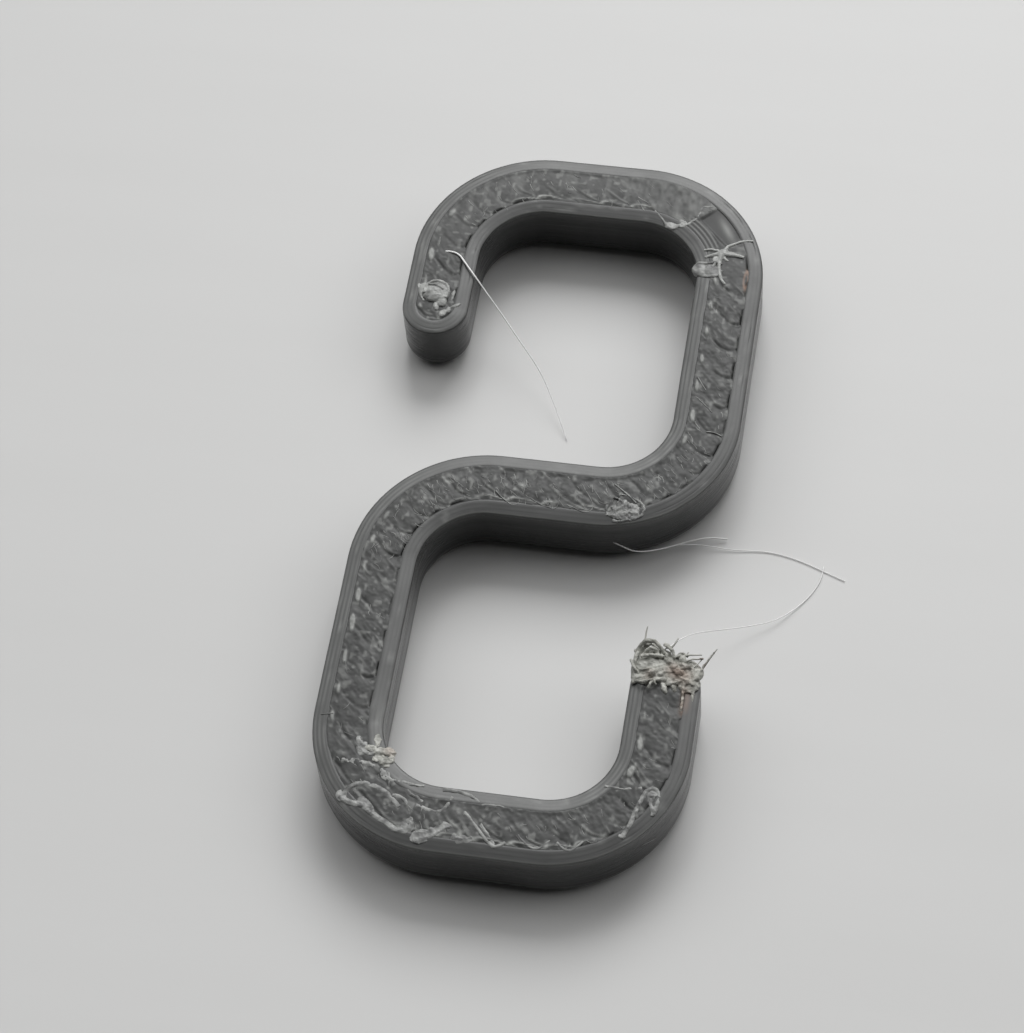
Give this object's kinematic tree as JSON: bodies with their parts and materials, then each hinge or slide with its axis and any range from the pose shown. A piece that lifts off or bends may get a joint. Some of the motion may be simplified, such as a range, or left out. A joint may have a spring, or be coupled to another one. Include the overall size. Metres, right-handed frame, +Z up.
{
  "type": "curtain rail hook",
  "caption": "S-shaped curtain rail hook: a square plastic bar bent into two open rounded loops, printed in one piece, with a rough beaded top and a ragged lower tip.",
  "frame": {"origin": "centre of the bounding box's bottom face, under the middle bar", "axes": "+Y along the hook towards the upper loop, +X towards that loop's closed arm, +Z up out of the beaded top"},
  "size_m": [0.032, 0.0712, 0.0067],
  "materials": {
    "plastic": "matte"
  },
  "bodies": {
    "root": {"hook": "plastic"}
  },
  "joints": []
}
